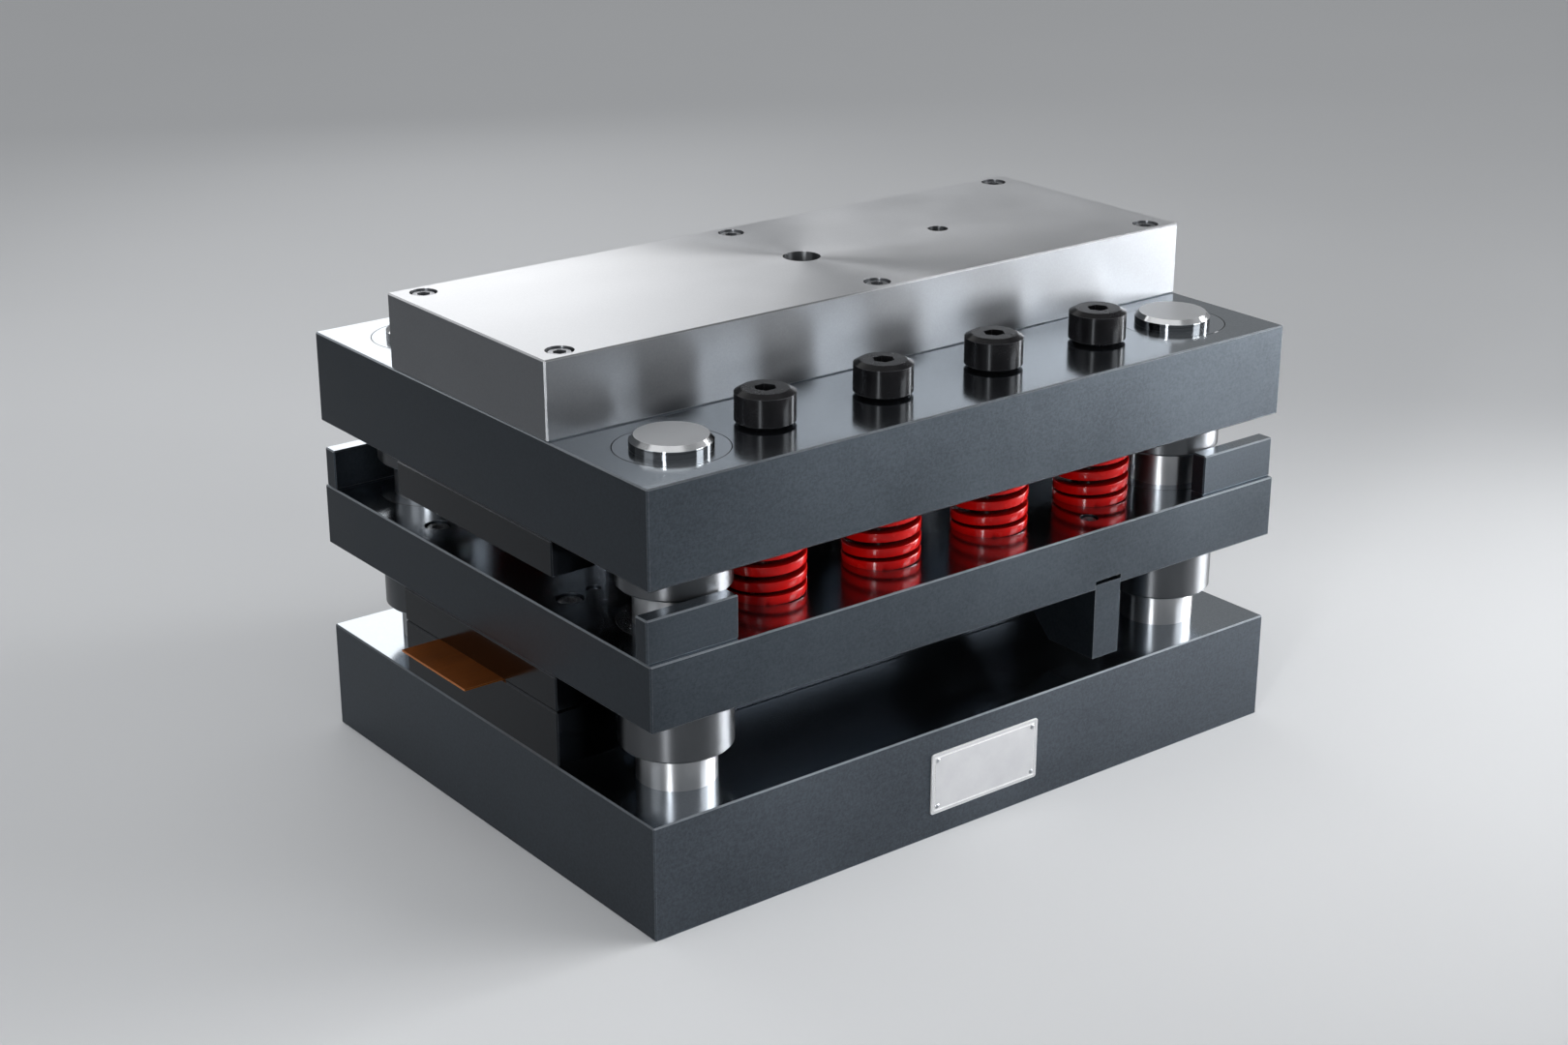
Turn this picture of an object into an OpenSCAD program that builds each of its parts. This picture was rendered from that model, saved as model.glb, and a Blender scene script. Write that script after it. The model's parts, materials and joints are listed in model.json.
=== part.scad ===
// Progressive stamping die: a post-guided die set with a spring-loaded stripper plate.
// The strip runs along +X. The origin is the middle of the base's underside, +Z up.

/* [Plates] */
// Length of the base, the stripper plate and the upper shoe, along the feed
plate_l = 330; // [320:1:360]
// Width of the base, the stripper plate and the upper shoe
plate_w = 244; // [240:1:280]
// Thickness of the base
base_t = 48; // [40:1:60]
// Thickness of the stripper plate
stripper_t = 27; // [24:0.5:36]
// Thickness of the upper shoe
shoe_t = 39.5; // [38:0.5:50]
// Gap between the stripper plate and the upper shoe with the springs extended
spring_gap = 29; // [27:0.5:40]
// Chamfer on the edges of plates and blocks
edge_break = 0.6; // [0.2:0.1:1]

/* [Blocks] */
// Width of the die block, the stripper insert, the punch plate and the top block
block_w = 115.2; // [112:0.2:120]
// Thickness of the die block
die_block_t = 23.5; // [20:0.5:30]
// Thickness of the insert under the stripper plate
insert_t = 14.7; // [12:0.1:20]
// Thickness of the punch plate
punch_plate_t = 14.8; // [12:0.1:15]
// Thickness of the top block
top_block_t = 31.5; // [26:0.5:40]
// Gap between the insert's lands and the die block with the strip held down
land_gap = 0.3; // [0.1:0.1:0.5]
// Diameter of the bore in the middle of the top block
ram_bore_d = 16; // [10:0.5:24]
// Diameter of the smaller hole beside it
key_hole_d = 9; // [6:0.5:12]
// Depth of the smaller hole
key_hole_depth = 20; // [10:1:24]
// Distance of the smaller hole from the middle
key_hole_x = 75.5; // [60:0.5:100]

/* [Guide posts and bushes] */
// Diameter of the guide posts
post_d = 32; // [28:1:34]
// Length of the guide posts
post_len = 180; // [176:1:184]
// Height of the posts above the upper shoe
post_stand = 5; // [2:0.5:8]
// Distance of the posts from the ends of the plates
post_inset_x = 34; // [32:0.5:40]
// Distance of the posts from the long sides of the plates
post_inset_y = 32.7; // [32:0.1:36]
// Chamfer at the ends of the posts
post_chamfer = 1.8; // [0.5:0.1:3]
// Outer diameter of the bushes
bush_od = 45; // [42:0.5:46]
// Length of the bushes in the upper shoe
shoe_bush_len = 53.5; // [51:0.5:55]
// Length of the bushes in the stripper plate
stripper_bush_len = 51; // [45:0.5:56]
// Chamfer at the ends of the bushes
bush_chamfer = 1; // [0.3:0.1:2]
// Radial running clearance of a post in a bush
run_gap = 0.03; // [0.01:0.01:0.08]
// Radial gap round a piece that is held tight in its hole
press_gap = 0.02; // [0.01:0.01:0.04]

/* [Shoulder bolts] */
// Distance of the end shoulder bolts from the ends of the plates
bolt_inset_x = 78; // [76:0.5:84]
// Distance of the shoulder bolts from the long sides of the plates
bolt_inset_y = 33.4; // [32:0.1:36]
// Diameter of the shoulder
shoulder_d = 16; // [14:0.5:17]
// Diameter of the shoulder bolt's head
bolt_head_d = 24; // [22:0.5:26]
// Height of the shoulder bolt's head
bolt_head_h = 14; // [10:0.5:16]
// Radial width of the chamfers round both ends of the head
bolt_chamfer_w = 2.7; // [1:0.1:3]
// Height of those chamfers
bolt_chamfer_h = 1.5; // [0.5:0.1:2]
// Width across the flats of the head's socket
bolt_hex = 8; // [6:0.5:10]
// Depth of the head's socket
bolt_hex_depth = 8; // [5:0.5:9]
// Diameter of the bolt's thread below the shoulder
bolt_thread_d = 12; // [10:0.5:13]
// Length of that thread in the stripper plate
bolt_thread_len = 18; // [14:0.5:20]
// Radial clearance of the shoulder in the upper shoe
shoulder_gap = 0.5; // [0.4:0.1:1]

/* [Springs] */
// Outer diameter of the springs
spring_od = 32; // [30:0.5:34]
// Radial width of the spring's rectangular wire
wire_w = 7; // [5:0.1:7.2]
// Height of the spring's wire
wire_h = 3.8; // [3:0.1:4]
// Thickness of the wire's ground tip at both ends of a spring
wire_tip = 0.95; // [0.5:0.05:1.5]
// Coils between the closed end coils
active_coils = 7; // [6:1:8]
// Depth of the spring pockets in the upper shoe
pocket_depth = 22; // [18:0.5:24]
// Radial gap round a spring in its pocket
pocket_gap = 0.5; // [0.4:0.1:1]

/* [Strip and stations] */
// Width of the strip
strip_w = 49; // [46:0.5:52]
// Thickness of the strip
strip_t = 0.8; // [0.5:0.1:1.2]
// Distance of the strip's middle line from the middle of the die, to the rear
strip_y = 5.8; // [0:0.1:8]
// Length of strip that stands out of the entry end
strip_lead = 17.5; // [5:0.5:40]
// Gap between the strip and the roof of its channel
strip_gap = 0.1; // [0.1:0.05:0.3]
// Feed of the strip at each stroke
feed_pitch = 40; // [39:0.5:42]
// Distance of the first station from the entry end
station_inset = 65; // [63:0.5:69]
// Length of strip beyond the blanking station
strip_tail = 60; // [54:0.5:64]
// Diameter of the blank
blank_d = 36; // [30:0.5:36]
// Diameter of the hole in the blank
pierce_d = 14; // [8:0.5:16]
// Diameter of the pilot holes
pilot_d = 4; // [3:0.1:5]
// Distance of the pilot rows from the strip's middle line
pilot_row = 20; // [19.5:0.1:20.5]
// Distance of the pilot holes ahead of a station
pilot_lead = 12; // [11:0.5:14]
// Pairs of pilots
pilot_pairs = 3; // [2:1:3]
// Chamfer at the tip of a pilot
pilot_point = 1; // [0.4:0.1:1.4]
// Cutting clearance between punch and die, on the radius
cut_gap = 0.04; // [0.02:0.01:0.08]
// Depth to which the punches enter the die when it is shut
punch_entry = 3; // [2:0.5:4]
// Length of the pilots beyond the punches
pilot_extra = 4; // [2:0.5:6]
// Clearance of the punches in the stripper plate, on the radius
punch_room = 0.6; // [0.3:0.1:1]
// Height of the flanges on the punches
flange_h = 5; // [3:0.5:6]
// Overhang of those flanges
flange_out = 2; // [1:0.1:2.5]

/* [Die inserts] */
// Outer diameter of the insert at the blanking station
blank_insert_od = 60; // [56:0.5:64]
// Outer diameter of the button at the piercing station
pierce_button_od = 25; // [22:0.5:28]
// Outer diameter of the buttons for the pilot holes
pilot_button_od = 10; // [9:0.5:12]
// Height of the cutting land in the inserts
land_h = 6; // [4:0.5:8]
// Widening below the land, on the radius
land_relief = 0.6; // [0.3:0.1:1]
// Widening of the slug holes in the base, on the radius
slug_relief = 1.5; // [1:0.1:2]

/* [Stop blocks and striker] */
// Length of the stop blocks on the stripper plate
stop_l = 41.5; // [36:0.5:46]
// Thickness of the stop blocks
stop_w = 7.5; // [6:0.1:8]
// Height of the stop blocks
stop_h = 17.5; // [16:0.5:18]
// Distance of the stop blocks from the long sides
stop_inset = 2; // [1:0.1:2.4]
// Distance of the striker block's middle from the exit end
striker_inset = 98.2; // [94:0.1:102]
// Width of the striker block
striker_w = 14.4; // [12:0.1:16]
// Height of the striker block's foot above the base
striker_clear = 7.5; // [5:0.5:10]
// Depth of the striker block at its foot
striker_foot = 26.5; // [20:0.5:30]
// Depth of the slot for the striker block
striker_slot = 4.2; // [3:0.1:6]
// Height of the step at the striker block's front
striker_step = 1.9; // [1:0.1:2.5]
// Depth of that step
striker_step_l = 6; // [4:0.5:7]
// Distance of the striker block's screw from the front
striker_screw_inset = 12.7; // [11.5:0.1:14]

/* [Screws and dowels] */
// Diameter of the small screws
m6_d = 6; // [5:0.5:6.5]
// Diameter of the large screws
m8_d = 8; // [7:0.5:9]
// Diameter of the screws in the stop blocks and the striker block
m4_d = 4; // [3:0.5:4.5]
// Diameter of a screw head, as a share of the thread
head_ratio = 1.65; // [1.6:0.05:1.7]
// Width across the flats of a screw's socket, as a share of the thread
hex_ratio = 0.83; // [0.75:0.01:0.9]
// Depth of a screw's socket, as a share of the thread
socket_ratio = 0.55; // [0.4:0.05:0.6]
// Gap round a sunk screw head, on the radius
head_gap = 0.7; // [0.4:0.1:0.8]
// Depth of a screw head below its surface
head_sink = 0.7; // [0.3:0.1:1]
// Length of thread that a screw has in its piece, as a share of the thread diameter
grip_ratio = 1.6; // [1.2:0.1:1.8]
// Distance at which the punch plate's screws and dowels stop short of its underside
short_by = 2; // [1:0.5:3]
// Depth of the die block's dowels in the base and in the block
dowel_reach = 17.5; // [14:0.5:20]
// Depth of the stripper plate's dowels in the insert
small_dowel_reach = 12; // [8:0.5:14]
// Diameter of the dowels in the stripper plate
small_dowel_d = 6; // [5:0.5:7]
// Diameter of the dowels in the base and the upper shoe
large_dowel_d = 8; // [6:0.5:9]
// Distance of the top block's end screws from its ends
screw_inset_x = 12; // [11:0.5:14]
// Distance of the stripper insert's end screws from its ends
insert_screw_inset = 13; // [12:0.5:15]
// Distance of the small screws from the long sides of the blocks
screw_inset_y = 8.1; // [8:0.1:9]
// Distance of the die block's end screws from its ends
die_screw_inset = 20; // [18:1:24]
// Distance of the punch plate's end screws from its ends
plate_screw_inset = 40; // [38:1:44]
// Distance of the punch plate's middle screws from the middle, against the feed
plate_screw_shift = 20; // [18:1:24]
// Distance of the large screws from the long sides of the blocks
large_screw_inset_y = 15.6; // [13:0.2:17]
// Distance of the large dowels from the ends of the blocks
large_dowel_inset = 62; // [58:1:66]
// Distance of the small dowels from the ends of the blocks
small_dowel_inset = 26; // [25:0.5:30]
// Distance of the small dowels from the row of small screws
small_dowel_shift = 3; // [0:0.5:5]
// Distance between the two screws of a stop block
stop_screw_pitch = 14; // [11:0.5:18]

/* [Strip guide pins] */
// Diameter of the strip guide pins
guide_pin_d = 8; // [7:0.5:9]
// Diameter of the pins' neck, where the strip's edge runs
guide_neck_d = 6; // [5:0.1:6.5]
// Height of the pins' head
guide_head_h = 2.5; // [1.5:0.1:4]
// Distance of the first pair of pins ahead of the first station
guide_lead = 30; // [28:0.5:34]
// Distance of the second pair of pins beyond the first station
guide_second = 47; // [46:0.5:50]
// Distance of the third pair of pins ahead of the blanking station
guide_third = 45; // [42:0.5:46]
// Distance of the last pair of pins beyond the blanking station
guide_last = 50; // [46:0.5:52]
// Side clearance of the strip between the pins
guide_gap = 0.15; // [0.1:0.05:0.3]
// Depth of the pins in the die block
guide_seat = 12; // [8:0.5:16]
// Gap of the insert's channel and pockets round the strip and the pins
channel_gap = 0.5; // [0.3:0.1:0.8]
// Play of the pins' neck above and below the strip
neck_play = 0.5; // [0.3:0.1:1]

/* [Hidden] */
$fn = 72;

// Length by which a cut runs past the surface that it opens
over = 1;
// Shoulder bolts along each long side, each with a spring of its own
bolt_count = 4;
// Feeds from the first station to the blanking station
blank_steps = 4;
// Facets of a spring's coil
coil_steps = 20;
// Gap in a closed end coil where it meets the next coil
coil_play = 0.1;

// Heights of the stack, from the base's underside
die_top = base_t + die_block_t;
strip_top = die_top + strip_t;
insert_bottom = die_top + land_gap;
stripper_bottom = insert_bottom + insert_t;
stripper_top = stripper_bottom + stripper_t;
shoe_bottom = stripper_top + spring_gap;
shoe_top = shoe_bottom + shoe_t;
punch_plate_bottom = shoe_bottom - punch_plate_t;
block_top = shoe_top + top_block_t;

// Working stroke of the upper half against the springs, set by the stop blocks
stroke = spring_gap - stop_h;

// Ends of the plates and of the blocks between them
entry_end = -plate_l / 2;
exit_end = plate_l / 2;

// Places of the posts, the shoulder bolts and the screws
post_x = plate_l / 2 - post_inset_x;
post_y = plate_w / 2 - post_inset_y;
bolt_y = plate_w / 2 - bolt_inset_y;
bolt_pitch = (plate_l - 2 * bolt_inset_x) / (bolt_count - 1);
screw_y = block_w / 2 - screw_inset_y;
top_screw_x = [-1, 0, 1] * (plate_l / 2 - screw_inset_x);
insert_screw_x = [-1, 0, 1] * (plate_l / 2 - insert_screw_inset);
plate_screw_x = [-1, 0, 1] * (plate_l / 2 - plate_screw_inset) - [0, plate_screw_shift, 0];
die_screw_x = [-1, 0, 1] * (plate_l / 2 - die_screw_inset);
large_screw_y = block_w / 2 - large_screw_inset_y;
large_dowel = [plate_l / 2 - large_dowel_inset, large_screw_y];
small_dowel = [plate_l / 2 - small_dowel_inset, screw_y - small_dowel_shift];

// Stations along the feed
first_station = entry_end + station_inset;
blank_x = first_station + blank_steps * feed_pitch;
pilot_hole_x = first_station - pilot_lead;
pilot_rows = [strip_y - pilot_row, strip_y + pilot_row];
strip_end = blank_x + strip_tail;
guide_pin_x = [
  first_station - guide_lead, first_station + guide_second, blank_x - guide_third, blank_x + guide_last
];
guide_pin_y = strip_w / 2 + guide_gap + guide_neck_d / 2;

// Heights of the tips with the springs extended
punch_tip = die_top - punch_entry + stroke;
pilot_tip = punch_tip - pilot_extra;

// Returns the outline of a rectangle with its corners cut off by the edge break
function broken_rectangle(a, b) = [
  [edge_break, 0], [a - edge_break, 0], [a, edge_break], [a, b - edge_break],
  [a - edge_break, b], [edge_break, b], [0, b - edge_break], [0, edge_break]
];

// A plate or block from its lowest corner, with all of its edges broken
module plate(corner, size) {
  translate(corner) intersection() {
    linear_extrude(size.z) polygon(broken_rectangle(size.x, size.y));
    translate([0, size.y, 0]) rotate([90, 0, 0])
      linear_extrude(size.y) polygon(broken_rectangle(size.x, size.z));
    rotate([90, 0, 90]) linear_extrude(size.x) polygon(broken_rectangle(size.y, size.z));
  }
}

// A plain bore or rod from its lower end
module rod(x, y, z, d, h) {
  translate([x, y, z]) cylinder(d = d, h = h);
}

// A turned piece from its lower end, with a chamfer at each end
module turned(x, y, z, d, h, low, high) {
  translate([x, y, z]) rotate_extrude()
    polygon([[0, 0], [d / 2 - low, 0], [d / 2, low], [d / 2, h - high], [d / 2 - high, h], [0, h]]);
}

// Diameter of a cap screw's head, and of a hexagonal socket over its corners
function head_d(d) = head_ratio * d;
function hex_d(flats) = flats / cos(30);

// A socket cap screw from the underside of its head, with the head up
module cap_screw(d, length) {
  difference() {
    union() {
      turned(0, 0, 0, head_d(d), d, 0, edge_break);
      rod(0, 0, -length, d, length + d / 2);
    }
    translate([0, 0, d - socket_ratio * d]) cylinder(d = hex_d(hex_ratio * d), h = d, $fn = 6);
  }
}

// The hole for a cap screw, from the underside of its head upwards and downwards
module cap_screw_hole(d, length, room) {
  rod(0, 0, 0, head_d(d) + 2 * head_gap, d + head_sink + over);
  rod(0, 0, -length, d + 2 * room, length + over);
}

// Places its children at each screw of a pattern of columns and two rows
module at_rows(columns, row, z) {
  for (x = columns, side = [-1, 1]) translate([x, side * row, z]) children();
}

// Places its children at each shoulder bolt of one long side
module at_bolts(side, z) {
  for (i = [0 : bolt_count - 1])
    translate([(i - (bolt_count - 1) / 2) * bolt_pitch, side * bolt_y, z]) children();
}

// Places its children at each post
module at_posts(z) {
  for (sx = [-1, 1], sy = [-1, 1]) translate([sx * post_x, sy * post_y, z]) children();
}

// Places its children at both dowels of a pair, which lie on a diagonal
module at_dowels(place, z) {
  for (end = [-1, 1]) translate([end * place.x, end * place.y, z]) children();
}

// A hole through a plate, from its lower face
module through(d, t) {
  translate([0, 0, -over]) cylinder(d = d, h = t + 2 * over);
}

// Heights of the screw heads that hold the blocks
die_screw_head = m8_d + head_sink;
plate_screw_head = shoe_top - head_sink - m8_d;
insert_screw_head = stripper_top - head_sink - m6_d;
top_screw_head = block_top - head_sink - m6_d;

// Lengths of those screws below their heads
die_screw_len = base_t - die_screw_head + grip_ratio * m8_d;
plate_screw_len = plate_screw_head - shoe_bottom + punch_plate_t - short_by;
insert_screw_len = insert_screw_head - stripper_bottom + grip_ratio * m6_d;
top_screw_len = top_screw_head - shoe_top + grip_ratio * m6_d;

// Lower half

module base_plate() {
  color("slategray") difference() {
    plate([entry_end, -plate_w / 2, 0], [plate_l, plate_w, base_t]);
    at_posts(0) through(post_d + 2 * press_gap, base_t);
    rod(blank_x, strip_y, -over, blank_d + 2 * (land_relief + slug_relief), base_t + 2 * over);
    rod(first_station, strip_y, -over, pierce_d + 2 * (land_relief + slug_relief), base_t + 2 * over);
    for (y = pilot_rows)
      rod(pilot_hole_x, y, -over, pilot_d + 2 * (land_relief + slug_relief), base_t + 2 * over);
    at_rows(die_screw_x, large_screw_y, die_screw_head) mirror([0, 0, 1])
      cap_screw_hole(m8_d, base_t - die_screw_head + over, head_gap / 2);
    at_dowels(large_dowel, 0) through(large_dowel_d + 2 * press_gap, base_t);
  }
}

module guide_post(sx, sy) {
  color("gainsboro")
    turned(sx * post_x, sy * post_y, shoe_top + post_stand - post_len, post_d, post_len,
      post_chamfer, post_chamfer);
}

module die_block() {
  color("dimgray") difference() {
    plate([entry_end, -block_w / 2, base_t], [plate_l, block_w, die_block_t]);
    translate([0, 0, base_t]) {
      translate([blank_x, strip_y, 0]) through(blank_insert_od + 2 * press_gap, die_block_t);
      translate([first_station, strip_y, 0]) through(pierce_button_od + 2 * press_gap, die_block_t);
      for (y = pilot_rows) {
        translate([pilot_hole_x, y, 0]) through(pilot_button_od + 2 * press_gap, die_block_t);
        for (i = [1 : pilot_pairs])
          translate([pilot_hole_x + i * feed_pitch, y, 0]) through(pilot_d + 2 * cut_gap, die_block_t);
      }
      at_rows(die_screw_x, large_screw_y, -over)
        cylinder(d = m8_d + 2 * press_gap, h = grip_ratio * m8_d + 2 * over);
      at_dowels(large_dowel, 0) through(large_dowel_d + 2 * press_gap, die_block_t);
    }
    for (x = guide_pin_x, side = [-1, 1])
      rod(x, strip_y + side * guide_pin_y, die_top - guide_seat, guide_pin_d + 2 * press_gap,
        guide_seat + over);
  }
}

// A die insert with its cutting land on top and a wider hole below it
module die_insert(x, y, od, hole_d) {
  difference() {
    rod(x, y, base_t, od, die_block_t);
    rod(x, y, base_t - over, hole_d + 2 * cut_gap, die_block_t + 2 * over);
    rod(x, y, base_t - over, hole_d + 2 * land_relief, die_block_t - land_h + over);
  }
}

module blank_insert() {
  color("silver") die_insert(blank_x, strip_y, blank_insert_od, blank_d);
}

module pierce_button() {
  color("silver") die_insert(first_station, strip_y, pierce_button_od, pierce_d);
}

module pilot_buttons() {
  color("silver") for (y = pilot_rows) die_insert(pilot_hole_x, y, pilot_button_od, pilot_d);
}

// Height of the neck, from just under the strip to just over it
neck_h = strip_t + 2 * neck_play;

module strip_guide_pins() {
  color("gainsboro") for (x = guide_pin_x, side = [-1, 1])
    translate([x, strip_y + side * guide_pin_y, die_top]) {
      rod(0, 0, -guide_seat, guide_pin_d, guide_seat - neck_play);
      rod(0, 0, -neck_play - over, guide_neck_d, neck_h + 2 * over);
      turned(0, 0, strip_t + neck_play, guide_pin_d, guide_head_h, 0, edge_break);
    }
}

module die_block_screws() {
  color("dimgray") at_rows(die_screw_x, large_screw_y, die_screw_head) mirror([0, 0, 1])
    cap_screw(m8_d, die_screw_len);
}

// Large dowels between two pieces that meet at height z
module large_dowels(z, reach) {
  at_dowels(large_dowel, z - reach) turned(0, 0, 0, large_dowel_d, 2 * reach, edge_break, edge_break);
}

module die_block_dowels() {
  color("gainsboro") large_dowels(base_t, dowel_reach);
}

// The strip, with the holes that each station has cut
module strip() {
  color("peru") difference() {
    translate([entry_end - strip_lead, strip_y - strip_w / 2, die_top])
      cube([strip_end - entry_end + strip_lead, strip_w, strip_t]);
    translate([0, strip_y, die_top]) {
      for (i = [-1 : 1])
        translate([blank_x + i * feed_pitch, 0, 0]) through(blank_d + 2 * cut_gap, strip_t);
      for (i = [-1 : blank_steps - 2])
        translate([first_station + i * feed_pitch, 0, 0]) through(pierce_d + 2 * cut_gap, strip_t);
      for (i = [-1 : blank_steps + 1], side = [-1, 1])
        translate([pilot_hole_x + i * feed_pitch, side * pilot_row, 0])
          through(pilot_d + 2 * cut_gap, strip_t);
    }
  }
}

// Stripper

// Holes for the punches and pilots, with a gap on the radius
module punch_holes(z, t, gap) {
  translate([blank_x, strip_y, z]) through(blank_d + 2 * gap, t);
  translate([first_station, strip_y, z]) through(pierce_d + 2 * gap, t);
  for (y = pilot_rows, i = [0 : pilot_pairs])
    translate([pilot_hole_x + i * feed_pitch, y, z]) through(pilot_d + 2 * gap, t);
}

module stripper_plate() {
  color("slategray") difference() {
    plate([entry_end, -plate_w / 2, stripper_bottom], [plate_l, plate_w, stripper_t]);
    at_posts(stripper_bottom) through(bush_od + 2 * press_gap, stripper_t);
    for (side = [-1, 1])
      at_bolts(side, stripper_top - bolt_thread_len - over)
        cylinder(d = bolt_thread_d + 2 * press_gap, h = bolt_thread_len + 2 * over);
    punch_holes(stripper_bottom, stripper_t, punch_room);
    at_rows(insert_screw_x, screw_y, insert_screw_head)
      cap_screw_hole(m6_d, insert_screw_head - stripper_bottom + over, head_gap / 2);
    at_dowels(small_dowel, stripper_bottom) through(small_dowel_d + 2 * press_gap, stripper_t);
    striker_space();
    at_stop_screws(stop_screw_head) mirror([0, 0, 1])
      cap_screw_hole(m4_d, stripper_top - stop_screw_head + over, head_gap / 2);
  }
}

module stripper_insert() {
  color("dimgray") difference() {
    plate([entry_end, -block_w / 2, insert_bottom], [plate_l, block_w, insert_t]);
    translate([entry_end - over, strip_y - strip_w / 2 - channel_gap, insert_bottom - over])
      cube([plate_l + 2 * over, strip_w + 2 * channel_gap, over + strip_top + strip_gap - insert_bottom]);
    for (x = guide_pin_x, side = [-1, 1])
      rod(x, strip_y + side * guide_pin_y, insert_bottom - over, guide_pin_d + 2 * channel_gap,
        neck_h + guide_head_h + 2 * over);
    punch_holes(insert_bottom, insert_t, cut_gap);
    at_rows(insert_screw_x, screw_y, stripper_bottom - grip_ratio * m6_d - over)
      cylinder(d = m6_d + 2 * press_gap, h = grip_ratio * m6_d + 2 * over);
    at_dowels(small_dowel, insert_bottom) through(small_dowel_d + 2 * press_gap, insert_t);
  }
}

module insert_screws() {
  color("dimgray") at_rows(insert_screw_x, screw_y, insert_screw_head) cap_screw(m6_d, insert_screw_len);
}

module insert_dowels() {
  color("gainsboro") at_dowels(small_dowel, stripper_bottom - small_dowel_reach)
    turned(0, 0, 0, small_dowel_d, stripper_t + small_dowel_reach - head_sink, edge_break, edge_break);
}

// A guide bush from its lower end
module bush(sx, sy, z, h) {
  difference() {
    turned(sx * post_x, sy * post_y, z, bush_od, h, bush_chamfer, edge_break / 2);
    rod(sx * post_x, sy * post_y, z - over, post_d + 2 * run_gap, h + 2 * over);
  }
}

module stripper_bush(sx, sy) {
  color("silver") bush(sx, sy, stripper_top - stripper_bush_len, stripper_bush_len);
}

// Middle of each stop block, and the screws that hold it from below
stop_x = plate_l / 2 - stop_l / 2;
stop_y = plate_w / 2 - stop_inset - stop_w / 2;
stop_screw_head = stripper_bottom + m4_d + head_sink;

module stop_block(sx, sy) {
  color("slategray") difference() {
    plate([sx * stop_x - stop_l / 2, sy * stop_y - stop_w / 2, stripper_top], [stop_l, stop_w, stop_h]);
    for (i = [-1, 1])
      rod(sx * stop_x + i * stop_screw_pitch / 2, sy * stop_y, stripper_top - over,
        m4_d + 2 * press_gap, grip_ratio * m4_d + 2 * over);
  }
}

// Places its children at each stop block screw
module at_stop_screws(z) {
  for (sx = [-1, 1], sy = [-1, 1], i = [-1, 1])
    translate([sx * stop_x + i * stop_screw_pitch / 2, sy * stop_y, z]) children();
}

module stop_screws() {
  color("dimgray") at_stop_screws(stop_screw_head) mirror([0, 0, 1])
    cap_screw(m4_d, stripper_top - stop_screw_head + grip_ratio * m4_d);
}

// Place and heights of the striker block, which hangs in a slot under the stripper plate's front edge
striker_x = exit_end - striker_inset;
striker_foot_z = base_t + striker_clear;
striker_seat = stripper_bottom + striker_slot;
striker_front = -plate_w / 2;
striker_back = striker_front + striker_foot + striker_seat - striker_foot_z;
striker_screw_y = striker_front + striker_screw_inset;
striker_screw_head = stripper_top - head_sink - m4_d;

// The slot and the screw hole in the stripper plate
module striker_space() {
  translate([striker_x - striker_w / 2 - press_gap, striker_front - over, stripper_bottom - over])
    cube([striker_w + 2 * press_gap, striker_back - striker_front + 2 * over, striker_slot + over]);
  translate([striker_x, striker_screw_y, striker_screw_head])
    cap_screw_hole(m4_d, striker_screw_head - stripper_bottom, head_gap / 2);
}

module striker_block() {
  color("slategray") difference() {
    translate([striker_x - striker_w / 2, 0, 0]) rotate([90, 0, 90]) linear_extrude(striker_w)
      polygon([
        [striker_front, striker_foot_z],
        [striker_front + striker_foot, striker_foot_z],
        [striker_back, striker_seat],
        [striker_front + striker_step_l, striker_seat],
        [striker_front + striker_step_l, striker_seat - striker_step],
        [striker_front, striker_seat - striker_step]
      ]);
    rod(striker_x, striker_screw_y, striker_seat - grip_ratio * m4_d - over, m4_d + 2 * press_gap,
      grip_ratio * m4_d + 2 * over);
  }
}

module striker_screw() {
  color("dimgray") translate([striker_x, striker_screw_y, striker_screw_head])
    cap_screw(m4_d, striker_screw_head - striker_seat + grip_ratio * m4_d);
}

// A shoulder bolt from its seat on the stripper plate, with its head on the upper shoe
module shoulder_bolt() {
  shoulder_len = shoe_top - stripper_top;
  outer = bolt_head_d / 2;
  inner = outer - bolt_chamfer_w;
  difference() {
    union() {
      translate([0, 0, shoulder_len]) rotate_extrude()
        polygon([
          [0, 0], [inner, 0], [outer, bolt_chamfer_h], [outer, bolt_head_h - bolt_chamfer_h],
          [inner, bolt_head_h], [0, bolt_head_h]
        ]);
      rod(0, 0, 0, shoulder_d, shoulder_len + bolt_chamfer_h);
      rod(0, 0, -bolt_thread_len, bolt_thread_d, bolt_thread_len + over);
    }
    translate([0, 0, shoulder_len + bolt_head_h - bolt_hex_depth])
      cylinder(d = hex_d(bolt_hex), h = bolt_hex_depth + over, $fn = 6);
  }
}

module front_shoulder_bolts() {
  color("black") at_bolts(-1, stripper_top) shoulder_bolt();
}

module rear_shoulder_bolts() {
  color("black") at_bolts(1, stripper_top) shoulder_bolt();
}

// Springs: rectangular wire on a helix, with closed end coils that are ground flat
spring_len = spring_gap + pocket_depth;
end_rise = wire_h + coil_play;
rise = spring_len - 2 * wire_tip + wire_h;
coil_rise = (rise - 2 * end_rise) / active_coils;
coils = active_coils + 2;
spring_steps = coils * coil_steps;

// Height of the wire's middle after u turns
function wire_z(u) = wire_tip - wire_h / 2 + (
  u < 1 ? u * end_rise :
  u > coils - 1 ? rise - (coils - u) * end_rise :
  end_rise + (u - 1) * coil_rise
);

// The wire's four corners after u turns, cut off flat at both ends of the spring
function wire_ring(u) =
  let (
    low = min(max(wire_z(u) - wire_h / 2, 0), spring_len - wire_tip),
    high = max(min(wire_z(u) + wire_h / 2, spring_len), wire_tip),
    inner = spring_od / 2 - wire_w,
    outer = spring_od / 2,
    c = cos(360 * u),
    s = sin(360 * u)
  ) [
    [inner * c, inner * s, low], [outer * c, outer * s, low],
    [outer * c, outer * s, high], [inner * c, inner * s, high]
  ];

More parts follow.
